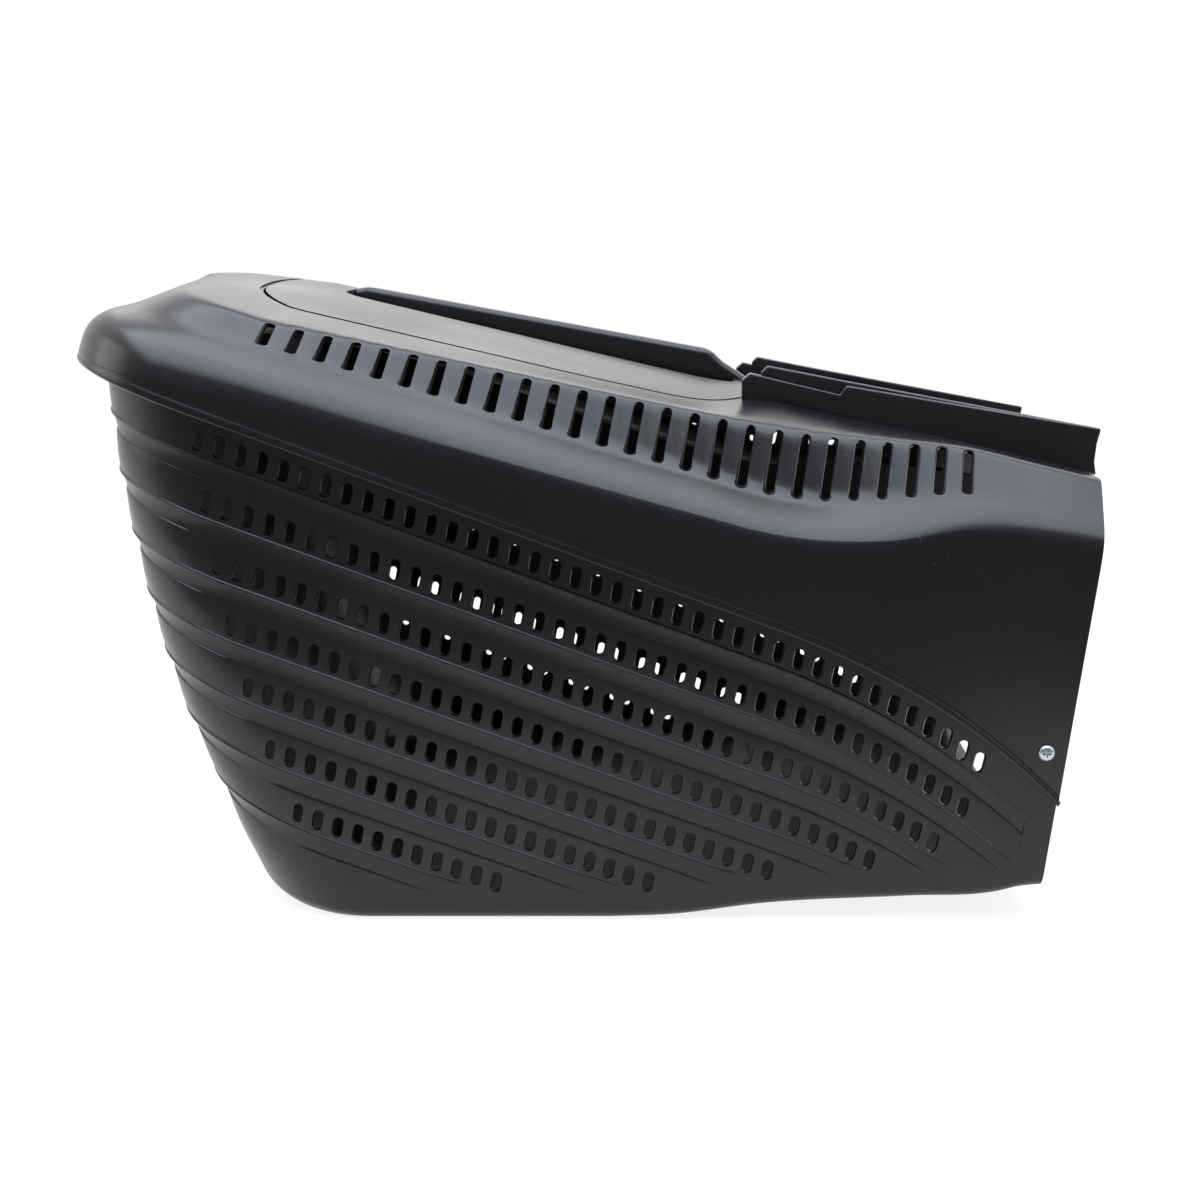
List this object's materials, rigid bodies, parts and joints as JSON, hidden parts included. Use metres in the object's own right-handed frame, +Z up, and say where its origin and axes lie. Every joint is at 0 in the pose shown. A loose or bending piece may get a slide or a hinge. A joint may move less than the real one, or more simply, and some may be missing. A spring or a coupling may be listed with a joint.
{
  "type": "plastic mower grass box",
  "caption": "Hard plastic mower grass box: slotted tub, vented cover with a rolled brim, inset handle panel and an open leaning mouth that takes the cut grass.",
  "frame": {"origin": "on the plane of the floor, under the middle of the box's length and width", "axes": "+X along the length and out of the open mouth, Y across the box, +Z up"},
  "size_m": [0.61, 0.4294, 0.3885],
  "materials": {
    "tub_plastic": "moulded black polypropylene, satin",
    "cover_plastic": "moulded black polypropylene, satin",
    "handle_plastic": "moulded black polypropylene, fine texture",
    "zinc_steel": "bright zinc-plated steel"
  },
  "bodies": {
    "root": {"lower_tub": "tub_plastic", "upper_cover": "cover_plastic", "handle_panel": "handle_plastic", "mouth_screws": "zinc_steel", "handle_screws": "zinc_steel"}
  },
  "joints": []
}
